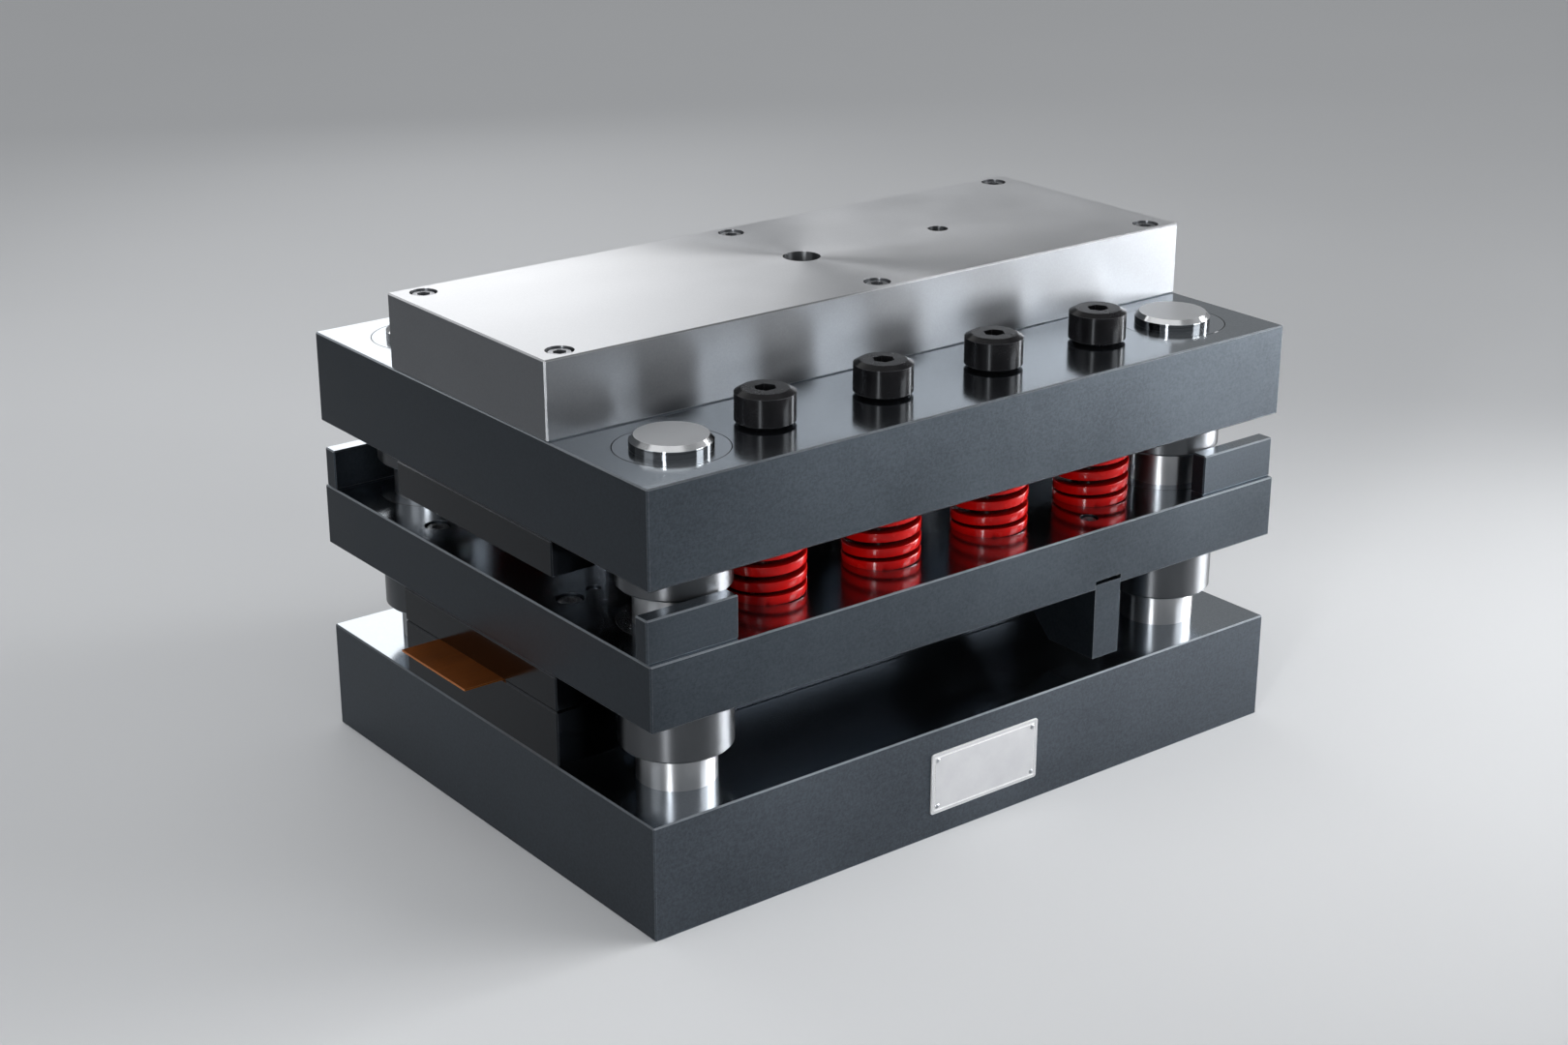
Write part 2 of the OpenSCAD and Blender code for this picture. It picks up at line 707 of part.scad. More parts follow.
// The two triangles of one side of the wire between rings i and i + 1
function wire_side(i, k) =
  let (a = 4 * i + k, b = 4 * i + (k + 1) % 4) [[a, b, b + 4], [a, b + 4, a + 4]];

module spring(side, i) {
  points = [for (n = [0 : spring_steps]) each wire_ring(n / coil_steps)];
  last = 4 * spring_steps;
  faces = concat(
    [[0, 3, 2, 1]],
    [for (n = [0 : spring_steps - 1], k = [0 : 3]) each wire_side(n, k)],
    [[last, last + 1, last + 2, last + 3]]
  );
  color("red") translate([(i - (bolt_count - 1) / 2) * bolt_pitch, side * bolt_y, stripper_top])
    polyhedron(points, faces, convexity = 10);
}

// Upper half

module upper_shoe() {
  color("slategray") difference() {
    plate([entry_end, -plate_w / 2, shoe_bottom], [plate_l, plate_w, shoe_t]);
    at_posts(shoe_bottom) through(bush_od + 2 * press_gap, shoe_t);
    for (side = [-1, 1]) {
      at_bolts(side, shoe_bottom) through(shoulder_d + 2 * shoulder_gap, shoe_t);
      at_bolts(side, shoe_bottom - over) cylinder(d = spring_od + 2 * pocket_gap, h = pocket_depth + over);
    }
    at_rows(plate_screw_x, large_screw_y, plate_screw_head)
      cap_screw_hole(m8_d, plate_screw_head - shoe_bottom + over, head_gap / 2);
    at_rows(top_screw_x, screw_y, shoe_top - grip_ratio * m6_d - over)
      cylinder(d = m6_d + 2 * press_gap, h = grip_ratio * m6_d + 2 * over);
    at_dowels(large_dowel, shoe_bottom) through(large_dowel_d + 2 * press_gap, shoe_t);
  }
}

module shoe_bush(sx, sy) {
  color("silver") bush(sx, sy, shoe_top - shoe_bush_len, shoe_bush_len);
}

module punch_plate() {
  color("dimgray") difference() {
    plate([entry_end, -block_w / 2, punch_plate_bottom], [plate_l, block_w, punch_plate_t]);
    punch_holes(punch_plate_bottom, punch_plate_t, press_gap);
    translate([0, 0, shoe_bottom - flange_h])
      punch_holes(over, flange_h + over, flange_out + press_gap);
    at_rows(plate_screw_x, large_screw_y, punch_plate_bottom) through(m8_d + 2 * press_gap, punch_plate_t);
    at_dowels(large_dowel, punch_plate_bottom) through(large_dowel_d + 2 * press_gap, punch_plate_t);
  }
}

module punch_plate_screws() {
  color("dimgray") at_rows(plate_screw_x, large_screw_y, plate_screw_head) cap_screw(m8_d, plate_screw_len);
}

module punch_plate_dowels() {
  color("gainsboro") large_dowels(shoe_bottom, punch_plate_t - short_by);
}

// A punch or pilot from the upper shoe down to its tip
module punch(x, y, d, tip, point) {
  turned(x, y, tip, d, shoe_bottom - tip, point, 0);
  rod(x, y, shoe_bottom - flange_h, d + 2 * flange_out, flange_h);
}

module pilot_hole_punches() {
  color("gainsboro") for (y = pilot_rows) punch(pilot_hole_x, y, pilot_d, punch_tip, 0);
}

module pierce_punch() {
  color("gainsboro") punch(first_station, strip_y, pierce_d, punch_tip, 0);
}

module blank_punch() {
  color("gainsboro") punch(blank_x, strip_y, blank_d, punch_tip, 0);
}

module pilots() {
  color("gainsboro") for (y = pilot_rows, i = [1 : pilot_pairs])
    punch(pilot_hole_x + i * feed_pitch, y, pilot_d, pilot_tip, pilot_point);
}

module top_block() {
  color("lightgray") difference() {
    plate([entry_end, -block_w / 2, shoe_top], [plate_l, block_w, top_block_t]);
    translate([0, 0, shoe_top]) through(ram_bore_d, top_block_t);
    rod(key_hole_x, 0, block_top - key_hole_depth, key_hole_d, key_hole_depth + over);
    at_rows(top_screw_x, screw_y, top_screw_head)
      cap_screw_hole(m6_d, top_screw_head - shoe_top + over, head_gap / 2);
  }
}

module top_block_screws() {
  color("dimgray") at_rows(top_screw_x, screw_y, top_screw_head) cap_screw(m6_d, top_screw_len);
}

base_plate();
guide_post(-1, -1);  // front_left_post
guide_post(1, -1);  // front_right_post
guide_post(-1, 1);  // rear_left_post
guide_post(1, 1);  // rear_right_post
die_block();
blank_insert();
pierce_button();
pilot_buttons();
strip_guide_pins();
die_block_screws();
die_block_dowels();
strip();
stripper_plate();
stripper_insert();
insert_screws();
insert_dowels();
stripper_bush(-1, -1);  // front_left_stripper_bush
stripper_bush(1, -1);  // front_right_stripper_bush
stripper_bush(-1, 1);  // rear_left_stripper_bush
stripper_bush(1, 1);  // rear_right_stripper_bush
stop_block(-1, -1);  // front_left_stop
stop_block(1, -1);  // front_right_stop
stop_block(-1, 1);  // rear_left_stop
stop_block(1, 1);  // rear_right_stop
stop_screws();
striker_block();
striker_screw();
front_shoulder_bolts();
rear_shoulder_bolts();
spring(-1, 0);  // front_spring_1
spring(-1, 1);  // front_spring_2
spring(-1, 2);  // front_spring_3
spring(-1, 3);  // front_spring_4
spring(1, 0);  // rear_spring_1
spring(1, 1);  // rear_spring_2
spring(1, 2);  // rear_spring_3
spring(1, 3);  // rear_spring_4
upper_shoe();
shoe_bush(-1, -1);  // front_left_shoe_bush
shoe_bush(1, -1);  // front_right_shoe_bush
shoe_bush(-1, 1);  // rear_left_shoe_bush
shoe_bush(1, 1);  // rear_right_shoe_bush
punch_plate();
punch_plate_screws();
punch_plate_dowels();
pilot_hole_punches();
pierce_punch();
blank_punch();
pilots();
top_block();
top_block_screws();
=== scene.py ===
import json
import math

import bmesh
import bpy
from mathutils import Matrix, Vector


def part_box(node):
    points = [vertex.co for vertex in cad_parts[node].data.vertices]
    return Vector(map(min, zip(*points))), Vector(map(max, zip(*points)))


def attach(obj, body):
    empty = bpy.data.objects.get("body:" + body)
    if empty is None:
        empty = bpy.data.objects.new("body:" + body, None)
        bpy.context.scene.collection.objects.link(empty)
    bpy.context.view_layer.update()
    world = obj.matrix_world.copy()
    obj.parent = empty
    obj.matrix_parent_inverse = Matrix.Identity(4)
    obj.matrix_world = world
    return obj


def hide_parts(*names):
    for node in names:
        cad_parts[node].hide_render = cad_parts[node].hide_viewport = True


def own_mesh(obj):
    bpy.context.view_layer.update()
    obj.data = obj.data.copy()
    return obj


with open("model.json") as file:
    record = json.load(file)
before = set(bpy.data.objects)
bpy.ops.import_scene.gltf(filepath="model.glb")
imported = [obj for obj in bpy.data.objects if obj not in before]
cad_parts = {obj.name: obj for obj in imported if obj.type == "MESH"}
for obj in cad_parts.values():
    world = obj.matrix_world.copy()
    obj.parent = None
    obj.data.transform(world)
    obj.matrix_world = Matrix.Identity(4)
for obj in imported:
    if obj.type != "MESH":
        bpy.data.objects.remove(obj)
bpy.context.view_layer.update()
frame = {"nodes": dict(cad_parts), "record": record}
MM = 0.001

# Camera, as fitted to the plates, posts and bolts of the photograph
CAMERA_AT = Vector((-0.6420, -0.8155, 0.4929))
CAMERA_TO = Vector((0.01093, 0.02613, 0.08340))
LENS_MM = 58.57
SENSOR_MM = 36.0
NEAR_CLIP = 0.01

# Places in the frame that the pieces and finishes use
BASE_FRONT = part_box("base_plate")[0][1]
SHOE_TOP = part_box("upper_shoe")[1][2]
POST_LOW, POST_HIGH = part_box("rear_right_post")
POST_X = (POST_LOW[0] + POST_HIGH[0]) / 2
POST_Y = (POST_LOW[1] + POST_HIGH[1]) / 2
POST_R = (POST_HIGH[0] - POST_LOW[0]) / 2
POST_TOP = POST_HIGH[2]
BUSH_LOW, BUSH_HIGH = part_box("rear_right_shoe_bush")
BUSH_R = (BUSH_HIGH[0] - BUSH_LOW[0]) / 2


# Shader building

# The part of a noise's range that is stretched: nearly all of it, or less for more contrast
WIDE = (0.3, 0.7)
TIGHT = (0.35, 0.65)
# Scales of a noise along the axes: lines that run along the feed, streaks along an upright axis,
# and rings round it
ALONG_FEED = (1.0, 28.0, 28.0)
ALONG_STRIP = (1.0, 40.0, 40.0)
ALONG_AXIS = (1.0, 1.0, 0.35)
ROUND_AXIS = (0.02, 0.02, 1.0)
# How far a face's normal stands up where it counts as upright, and where it counts as flat
UPRIGHT, FLAT = 0.6, 0.9
# How well the rounded normal agrees with the true one away from an edge, and right at it
AWAY_FROM_EDGE, AT_EDGE = 0.995, 0.93


class Graph:
    """A node tree, with short ways to add to it."""

    def __init__(self, tree):
        self.tree = tree

    def feed(self, socket, value):
        """Links a value that is another node's output, or sets a plain one."""
        if isinstance(value, bpy.types.NodeSocket):
            self.tree.links.new(value, socket)
        else:
            socket.default_value = value

    def node(self, kind, inputs=(), **settings):
        """Adds a node, sets its options and fills or links its inputs."""
        made = self.tree.nodes.new(kind)
        for setting, value in settings.items():
            setattr(made, setting, value)
        for socket, value in dict(inputs).items():
            self.feed(made.inputs[socket], value)
        return made

    def ramp(self, value, low, high, to_low=0.0, to_high=1.0):
        """Maps a range of a value to another range, clamped."""
        inputs = {"Value": value, "From Min": low, "From Max": high, "To Min": to_low, "To Max": to_high}
        return self.node("ShaderNodeMapRange", inputs).outputs["Result"]

    def axes(self, vector):
        """The X, Y and Z of a vector."""
        parts = self.node("ShaderNodeSeparateXYZ", {"Vector": vector})
        return [parts.outputs[axis] for axis in "XYZ"]


class Finish(Graph):
    """A material with one Principled shader, built node by node."""

    def __init__(self, name, **sockets):
        self.material = bpy.data.materials.new(name)
        self.material.use_nodes = True
        super().__init__(self.material.node_tree)
        self.shader = self.tree.nodes["Principled BSDF"]
        self.set(**sockets)
        self.here = self.node("ShaderNodeTexCoord").outputs["Object"]
        self.normal = self.node("ShaderNodeNewGeometry").outputs["Normal"]

    def set(self, **sockets):
        """Feeds the shader's sockets and returns the material."""
        for socket, value in sockets.items():
            self.feed(self.shader.inputs[socket.replace("_", " ")], value)
        return self.material

    def noise(self, scale, detail, rough, stretch=(1.0, 1.0, 1.0), at=None):
        """Noise with the given number of features per metre, here or at another vector."""
        place = self.node("ShaderNodeMapping", {"Vector": at or self.here, "Scale": stretch})
        inputs = {"Vector": place.outputs["Vector"], "Scale": scale, "Detail": detail, "Roughness": rough}
        return self.node("ShaderNodeTexNoise", inputs).outputs["Fac"]

    def vary(self, noise, to_low=0.0, to_high=1.0, span=WIDE):
        """A value that follows a noise between two limits."""
        return self.ramp(noise, *span, to_low, to_high)

    def math(self, operation, a, b=0.0):
        """One arithmetic step."""
        return self.node("ShaderNodeMath", {0: a, 1: b}, operation=operation).outputs["Value"]

    def times(self, a, b):
        """The product of two numbers."""
        return self.math("MULTIPLY", a, b)

    def add(self, *terms):
        """The sum of some numbers."""
        total = terms[0]
        for term in terms[1:]:
            total = self.math("ADD", total, term)
        return total

    def mix(self, factor, a, b, kind="RGBA"):
        """Mixes two colours, or two numbers or vectors of the kind FLOAT or VECTOR."""
        inputs = {"Factor": factor, "A": a, "B": b}
        return self.node("ShaderNodeMix", inputs, data_type=kind).outputs["Result"]

    def blend(self, factor, a, b):
        """Mixes two numbers."""
        return self.mix(factor, a, b, "FLOAT")

    def vector(self, **parts):
        """A vector with the given X, Y and Z, each 0 where it isn't given."""
        return self.node("ShaderNodeCombineXYZ", parts).outputs["Vector"]

    def length(self, vector):
        """The length of a vector."""
        return self.node("ShaderNodeVectorMath", {0: vector}, operation="LENGTH").outputs["Value"]

    def facing_up(self):
        """1 on faces that look up or down, 0 on upright ones."""
        return self.ramp(self.math("ABSOLUTE", self.axes(self.normal)[2]), UPRIGHT, FLAT)

    def edge_wear_and_highlight(self, colour, radius, share, bright):
        """A colour that is brighter close to sharp edges: partly rubbed wear, partly a painted highlight
        along the edges.
        """
        rounded = self.node("ShaderNodeBevel", {"Radius": radius}, samples=6).outputs["Normal"]
        same = self.node("ShaderNodeVectorMath", {0: rounded, 1: self.normal}, operation="DOT_PRODUCT")
        edge = self.ramp(same.outputs["Value"], AWAY_FROM_EDGE, AT_EDGE)
        return self.mix(self.times(edge, share), colour, bright)

    def bump(self, height, distance, strength):
        """Feeds a height into the shader's normal."""
        inputs = {"Height": height, "Distance": distance, "Strength": strength}
        self.set(Normal=self.node("ShaderNodeBump", inputs).outputs["Normal"])


def tint(r, g, b):
    """A colour in linear light."""
    return (r, g, b, 1.0)


def darker(colour, share):
    """A darker shade of a colour."""
    return tuple(share * part for part in colour[:3]) + (1.0,)


# Finishes

GROUND_TOP = tint(0.48, 0.525, 0.57)
# Pale colours at sharp edges: partly rubbed wear, partly a painted highlight
PLATE_EDGE_WEAR_AND_HIGHLIGHT = tint(0.75, 0.77, 0.8)
STEEL_EDGE_WEAR_AND_HIGHLIGHT = tint(0.92, 0.92, 0.92)


def ground_steel(name, side, top=GROUND_TOP, side_rough=0.43, top_rough=0.14):
    """Surface-ground plate: lines along the feed on the flat faces, a fine matt grain on the sides."""
    finish = Finish(name, Metallic=1.0)
    up = finish.facing_up()
    lines = finish.noise(55.0, 6.0, 0.6, ALONG_FEED)
    grain = finish.noise(850.0, 3.0, 0.75)
    cloud = finish.noise(14.0, 5.0, 0.6)
    tone = finish.add(finish.vary(cloud, 0.3, 0.6, TIGHT), finish.vary(grain, -0.32, 0.32, TIGHT),
                      finish.vary(lines, -0.08, 0.08, TIGHT))
    dull = finish.mix(up, darker(side, 0.6), darker(top, 0.85))
    # The sides are far darker than the flat faces: partly their finish, partly painted shade
    steel = finish.mix(tone, dull, finish.mix(up, side, top))
    steel = finish.edge_wear_and_highlight(steel, radius=0.22 * MM, share=0.14, bright=PLATE_EDGE_WEAR_AND_HIGHLIGHT)
    rough = finish.add(finish.blend(up, side_rough, top_rough), finish.vary(cloud, -0.03, 0.04),
                       finish.vary(grain, -0.03, 0.04))
    height = finish.add(finish.times(grain, 0.6), finish.times(lines, 0.4))
    finish.bump(height, 0.02 * MM, finish.blend(up, 0.35, 0.08))
    return finish.set(Base_Color=steel, Roughness=rough)


def turned_top_steel(name, side, dull_side, top, dull_top):
    """The top block: its top face is finished in circles round the middle bore."""
    finish = Finish(name, Metallic=1.0, Anisotropic=0.8, Anisotropic_Rotation=0.25)
    up = finish.facing_up()
    x, y, _ = finish.axes(finish.here)
    radius = finish.length(finish.vector(X=x, Y=y))
    rings = finish.noise(2600.0, 3.0, 0.5, at=finish.vector(X=radius))
    grain = finish.noise(1500.0, 3.0, 0.7)
    cloud = finish.noise(16.0, 5.0, 0.6)
    tone = finish.add(finish.vary(cloud, 0.3, 0.7), finish.vary(grain, -0.15, 0.15, TIGHT))
    # The sides are far darker than the top face: partly their finish, partly painted shade
    steel = finish.mix(tone, finish.mix(up, dull_side, dull_top), finish.mix(up, side, top))
    steel = finish.edge_wear_and_highlight(steel, radius=0.3 * MM, share=0.25, bright=tint(0.9, 0.9, 0.9))
    rough = finish.add(finish.blend(up, 0.36, 0.38), finish.vary(cloud, -0.03, 0.04))
    finish.bump(finish.blend(up, grain, rings), 0.015 * MM, 0.2)
    circles = finish.vector(X=finish.times(y, -1.0), Y=x)
    tangent = finish.node("ShaderNodeVectorMath", {0: circles}, operation="NORMALIZE").outputs["Vector"]
    return finish.set(Base_Color=steel, Roughness=rough, Tangent=tangent)


# Parts of the posts and bushes that have a look of their own: the post's end above the shoe,
# which is polished, with a painted dark reflection on its wall and a painted highlight on its bevel, and
# the bush's rim, where it meets the shoe.
# One look turns to the next within the short step.
CAP_START = SHOE_TOP - 0.6 * MM
BEVEL_START = POST_TOP - 1.95 * MM
RIM_START = BUSH_R - 0.5 * MM
SHORT_STEP = 0.1 * MM
CAP_WALL_DARK_REFLECTION, CAP_BEVEL_HIGHLIGHT, CAP_FACE = tint(0.12, 0.125, 0.13), tint(0.85, 0.86, 0.87), tint(0.52, 0.53, 0.545)
BUSH_FACE, BUSH_RIM = tint(0.5, 0.54, 0.585), tint(0.02, 0.02, 0.022)


def bearing_steel(name, bush_colour, post_colour):
    """Hardened steel of posts and bushes, ground round the axis, which draws lights out along it."""
    finish = Finish(name, Metallic=1.0, Anisotropic=0.9, Anisotropic_Rotation=0.25)
    up = finish.facing_up()
    grain = finish.noise(1100.0, 3.0, 0.6)
    smear = finish.noise(60.0, 4.0, 0.6, ALONG_AXIS)

    x, y, z = finish.axes(finish.here)
    off_x = finish.math("SUBTRACT", finish.math("ABSOLUTE", x), POST_X)
    off_y = finish.math("SUBTRACT", finish.math("ABSOLUTE", y), POST_Y)
    radius = finish.length(finish.vector(X=off_x, Y=off_y))
    on_bush = finish.ramp(radius, POST_R, POST_R + SHORT_STEP)
    at_rim = finish.ramp(radius, RIM_START, RIM_START + 1.5 * SHORT_STEP)
    at_cap = finish.ramp(z, CAP_START, CAP_START + SHORT_STEP)
    at_bevel = finish.ramp(z, BEVEL_START, BEVEL_START + SHORT_STEP)

    # Painted dark reflection: the bush walls are far darker than the bush faces
    bright = finish.mix(on_bush, post_colour, bush_colour)
    dull = finish.mix(on_bush, darker(post_colour, 0.85), darker(bush_colour, 0.85))
    wall = finish.mix(finish.ramp(smear, 0.35, 0.7), bright, dull)
    # Painted light on the post's end above the shoe: a dark reflection on its wall, a highlight on its
    # bevel
    wall = finish.mix(at_cap, wall, finish.mix(at_bevel, CAP_WALL_DARK_REFLECTION, CAP_BEVEL_HIGHLIGHT))
    face = finish.mix(at_rim, finish.mix(on_bush, CAP_FACE, BUSH_FACE), BUSH_RIM)
    # The edge wear and painted edge highlight go on the posts only, not on the bushes
    edge_wear_and_highlight_share = finish.times(finish.math("SUBTRACT", 1.0, on_bush), 0.5)
    steel = finish.edge_wear_and_highlight(finish.mix(up, wall, face), radius=0.4 * MM, share=edge_wear_and_highlight_share, bright=STEEL_EDGE_WEAR_AND_HIGHLIGHT)

    rough = finish.add(finish.ramp(smear, 0.3, 0.75, 0.36, 0.4), finish.vary(grain, -0.01, 0.02))
    rough = finish.blend(at_cap, rough, 0.06)
    rough = finish.blend(up, rough, finish.blend(on_bush, 0.4, 0.16))
    round_axis = finish.node("ShaderNodeTangent", direction_type="RADIAL", axis="Z").outputs["Tangent"]
    tangent = finish.mix(up, round_axis, (1.0, 0.0, 0.0), "VECTOR")
    return finish.set(Base_Color=steel, Roughness=rough, Tangent=tangent)


def punch_steel(name, colour, rough):
    """Hardened and ground steel of punches, pins and inserts, with faint rings round the axis."""
    finish = Finish(name, Metallic=1.0)
    rings = finish.noise(900.0, 2.0, 0.5, ROUND_AXIS)
    smear = finish.noise(60.0, 4.0, 0.6, ALONG_AXIS)
    steel = finish.mix(finish.ramp(smear, 0.35, 0.7), colour, darker(colour, 0.9))
    steel = finish.edge_wear_and_highlight(steel, radius=0.5 * MM, share=0.4, bright=STEEL_EDGE_WEAR_AND_HIGHLIGHT)
    roughness = finish.add(finish.ramp(smear, 0.3, 0.75, rough * 0.7, rough * 1.6),
                           finish.vary(rings, 0.0, rough * 0.4))
    finish.bump(rings, 0.004 * MM, 0.25)
    return finish.set(Base_Color=steel, Roughness=roughness)


def black_oxide(name):
    """Glossy black oxide on the shoulder bolts, brighter at the edges: partly rubbed wear, partly a painted
    highlight.
    """
    finish = Finish(name, Metallic=0.1, Coat_Weight=0.06, Coat_Roughness=0.06, Specular_IOR_Level=0.09)
    grain = finish.noise(1400.0, 3.0, 0.6)
    smear = finish.noise(90.0, 4.0, 0.6)
    coat = finish.mix(finish.vary(smear), tint(0.0035, 0.0035, 0.004), tint(0.008, 0.008, 0.009))
    coat = finish.edge_wear_and_highlight(coat, radius=0.45 * MM, share=0.25, bright=tint(0.12, 0.12, 0.13))
    finish.bump(grain, 0.01 * MM, 0.25)
    rough = finish.add(finish.vary(smear, 0.16, 0.27), finish.vary(grain, 0.0, 0.05))
    return finish.set(Base_Color=coat, Roughness=rough)


def screw_steel(name, light, dark):
    """Satin steel of the cap screws and rivets."""
    finish = Finish(name, Metallic=1.0)
    grain = finish.noise(2200.0, 3.0, 0.6)
    smear = finish.noise(180.0, 3.0, 0.6)
    steel = finish.mix(finish.vary(smear), dark, light)
    steel = finish.edge_wear_and_highlight(steel, radius=0.35 * MM, share=0.5, bright=tint(0.8, 0.8, 0.8))
    finish.bump(grain, 0.01 * MM, 0.3)
    return finish.set(Base_Color=steel, Roughness=finish.vary(grain, 0.24, 0.38))


def spring_paint(name):
    """Glossy red enamel on the springs, with painted shade between the coils, and paler on the wire's
    corners: partly thin paint, partly a painted highlight.
    """
    finish = Finish(name, Metallic=0.0, Coat_Weight=0.22, Coat_Roughness=0.05, Specular_IOR_Level=0.1)
    peel = finish.noise(420.0, 3.0, 0.5)
    cloud = finish.noise(70.0, 4.0, 0.6)
    paint = finish.mix(finish.vary(cloud), tint(0.235, 0.001, 0.001), tint(0.3, 0.002, 0.001))
    # Painted shade: the paint turns dark red where the coils beside it hem the wire in
    unshaded = finish.node("ShaderNodeAmbientOcclusion", {"Distance": 5 * MM}, samples=8).outputs["AO"]
    paint = finish.mix(finish.ramp(unshaded, 0.25, 0.65), tint(0.05, 0.001, 0.001), paint)
    paint = finish.edge_wear_and_highlight(paint, radius=0.35 * MM, share=0.1, bright=tint(0.8, 0.04, 0.02))
    finish.bump(peel, 0.03 * MM, 0.3)
    return finish.set(Base_Color=paint, Roughness=finish.vary(cloud, 0.18, 0.3))


def rolled_copper(name):
    """Cold-rolled copper strip, with rolling lines along the feed and a little tarnish."""
    finish = Finish(name, Metallic=1.0)
    lines = finish.noise(70.0, 5.0, 0.6, ALONG_STRIP)
    cloud = finish.noise(45.0, 5.0, 0.65)
    copper = finish.mix(finish.vary(lines), tint(0.48, 0.13, 0.018), tint(0.6, 0.18, 0.03))
    copper = finish.mix(finish.ramp(cloud, 0.45, 0.75, 0.0, 0.4), copper, tint(0.34, 0.085, 0.014))
    copper = finish.edge_wear_and_highlight(copper, radius=0.3 * MM, share=0.5, bright=tint(0.9, 0.5, 0.25))
    finish.bump(lines, 0.01 * MM, 0.4)
    rough = finish.add(finish.vary(cloud, 0.28, 0.4), finish.vary(lines, -0.03, 0.04))
    return finish.set(Base_Color=copper, Roughness=rough)


def plate_enamel(name):
    """Pale satin face of the data plate."""
    finish = Finish(name, Metallic=0.1)
    grain = finish.noise(1600.0, 3.0, 0.6)
    cloud = finish.noise(60.0, 4.0, 0.6)
    pale = finish.mix(finish.vary(cloud), tint(0.29, 0.295, 0.305), tint(0.335, 0.34, 0.35))
    pale = finish.edge_wear_and_highlight(pale, radius=0.3 * MM, share=0.6, bright=tint(0.85, 0.85, 0.86))
    finish.bump(grain, 0.01 * MM, 0.3)
    return finish.set(Base_Color=pale, Roughness=finish.vary(grain, 0.3, 0.42))


FINISHES = {
    # Each steel's side colour is far darker than its top colour: partly the finish, partly painted shade
    "ground_steel": ground_steel("ground_plate_steel", side=tint(0.038, 0.0465, 0.0565)),
    "brushed_steel": turned_top_steel(
        "turned_top_steel", side=tint(0.17, 0.178, 0.189), dull_side=tint(0.12, 0.126, 0.135),
        top=tint(0.72, 0.73, 0.75), dull_top=tint(0.6, 0.61, 0.63)),
    "tool_steel": ground_steel(
        "tool_block_steel", side=tint(0.016, 0.0185, 0.022), top=tint(0.2, 0.21, 0.225),
        side_rough=0.14, top_rough=0.15),
    "bearing_steel": bearing_steel(
        "ground_bearing_steel", bush_colour=tint(0.1, 0.105, 0.112), post_colour=tint(0.4, 0.405, 0.415)),
    "hard_steel": punch_steel("ground_punch_steel", tint(0.5, 0.51, 0.53), rough=0.16),
    "spring_red": spring_paint("red_spring_enamel"),
    "black_oxide": black_oxide("black_oxide_steel"),
    "screw_steel": screw_steel("cap_screw_steel", light=tint(0.4, 0.41, 0.43), dark=tint(0.22, 0.23, 0.25)),
    "copper_strip": rolled_copper("rolled_copper"),
}

# The sides of the base are paler than those of the other plates: partly their grind, partly less painted
# shade.
BASE_FINISH = ground_steel("ground_base_steel", side=tint(0.069, 0.081, 0.096))


def dress_nodes():
    """Gives every CAD node the finish of its material slot, and the base its own."""
    for part in frame["record"]["subparts"]:
        mesh = frame["nodes"][part["node"]].data
        mesh.materials.clear()
        finish = BASE_FINISH if part["node"] == "base_plate" else FINISHES[part["material_slot"]]
        mesh.materials.append(finish)


# Meshes

def mesh_object(name, verts, faces, material, smooth_angle):
    """A mesh object whose flat faces stay flat and whose curves are smooth."""
    mesh = bpy.data.meshes.new(name)
    mesh.from_pydata(verts, [], faces)
    mesh.validate()
    editable = bmesh.new()
    editable.from_mesh(mesh)
    bmesh.ops.recalc_face_normals(editable, faces=editable.faces)
    editable.to_mesh(mesh)
    editable.free()
    piece = bpy.data.objects.new(name, mesh)
    bpy.context.scene.collection.objects.link(piece)
    mesh.materials.append(material)
    mesh.shade_smooth()
    mesh.set_sharp_from_angle(angle=math.radians(smooth_angle))
    return piece


def rounded_outline(width, height, corner, steps=5):
    """Points of a rectangle with round corners, round its middle."""
    points = []
    for quarter in range(4):
        across = (1, -1, -1, 1)[quarter] * (width / 2 - corner)
        up = (1, 1, -1, -1)[quarter] * (height / 2 - corner)
        for step in range(steps + 1):
            angle = math.radians(90.0 * (quarter + step / steps))
            points.append((across + corner * math.cos(angle), up + corner * math.sin(angle)))
    return points


def side_faces(rings, around):
    """Four-sided faces between each ring of vertices and the next."""
    faces = []
    for ring in range(rings - 1):
        for k in range(around):
            a, b = ring * around + k, ring * around + (k + 1) % around
            faces.append((a, b, b + around, a + around))
    return faces


def end_faces(rings, around):
    """The faces that close the first and the last ring."""
    return [tuple(range(around)), tuple(range((rings - 1) * around, rings * around))]


# The springs: the same wire as in the part's source, with rounded corners
WIRE_W = 7.0 * MM
WIRE_H = 3.8 * MM
WIRE_ROUND = 0.35 * MM
WIRE_TIP = 0.25 * WIRE_H
COIL_PLAY = 0.1 * MM
ACTIVE_COILS = 7
STEPS_PER_COIL = 72
CORNER_STEPS = 3
SPRINGS_IN_ROW = 4


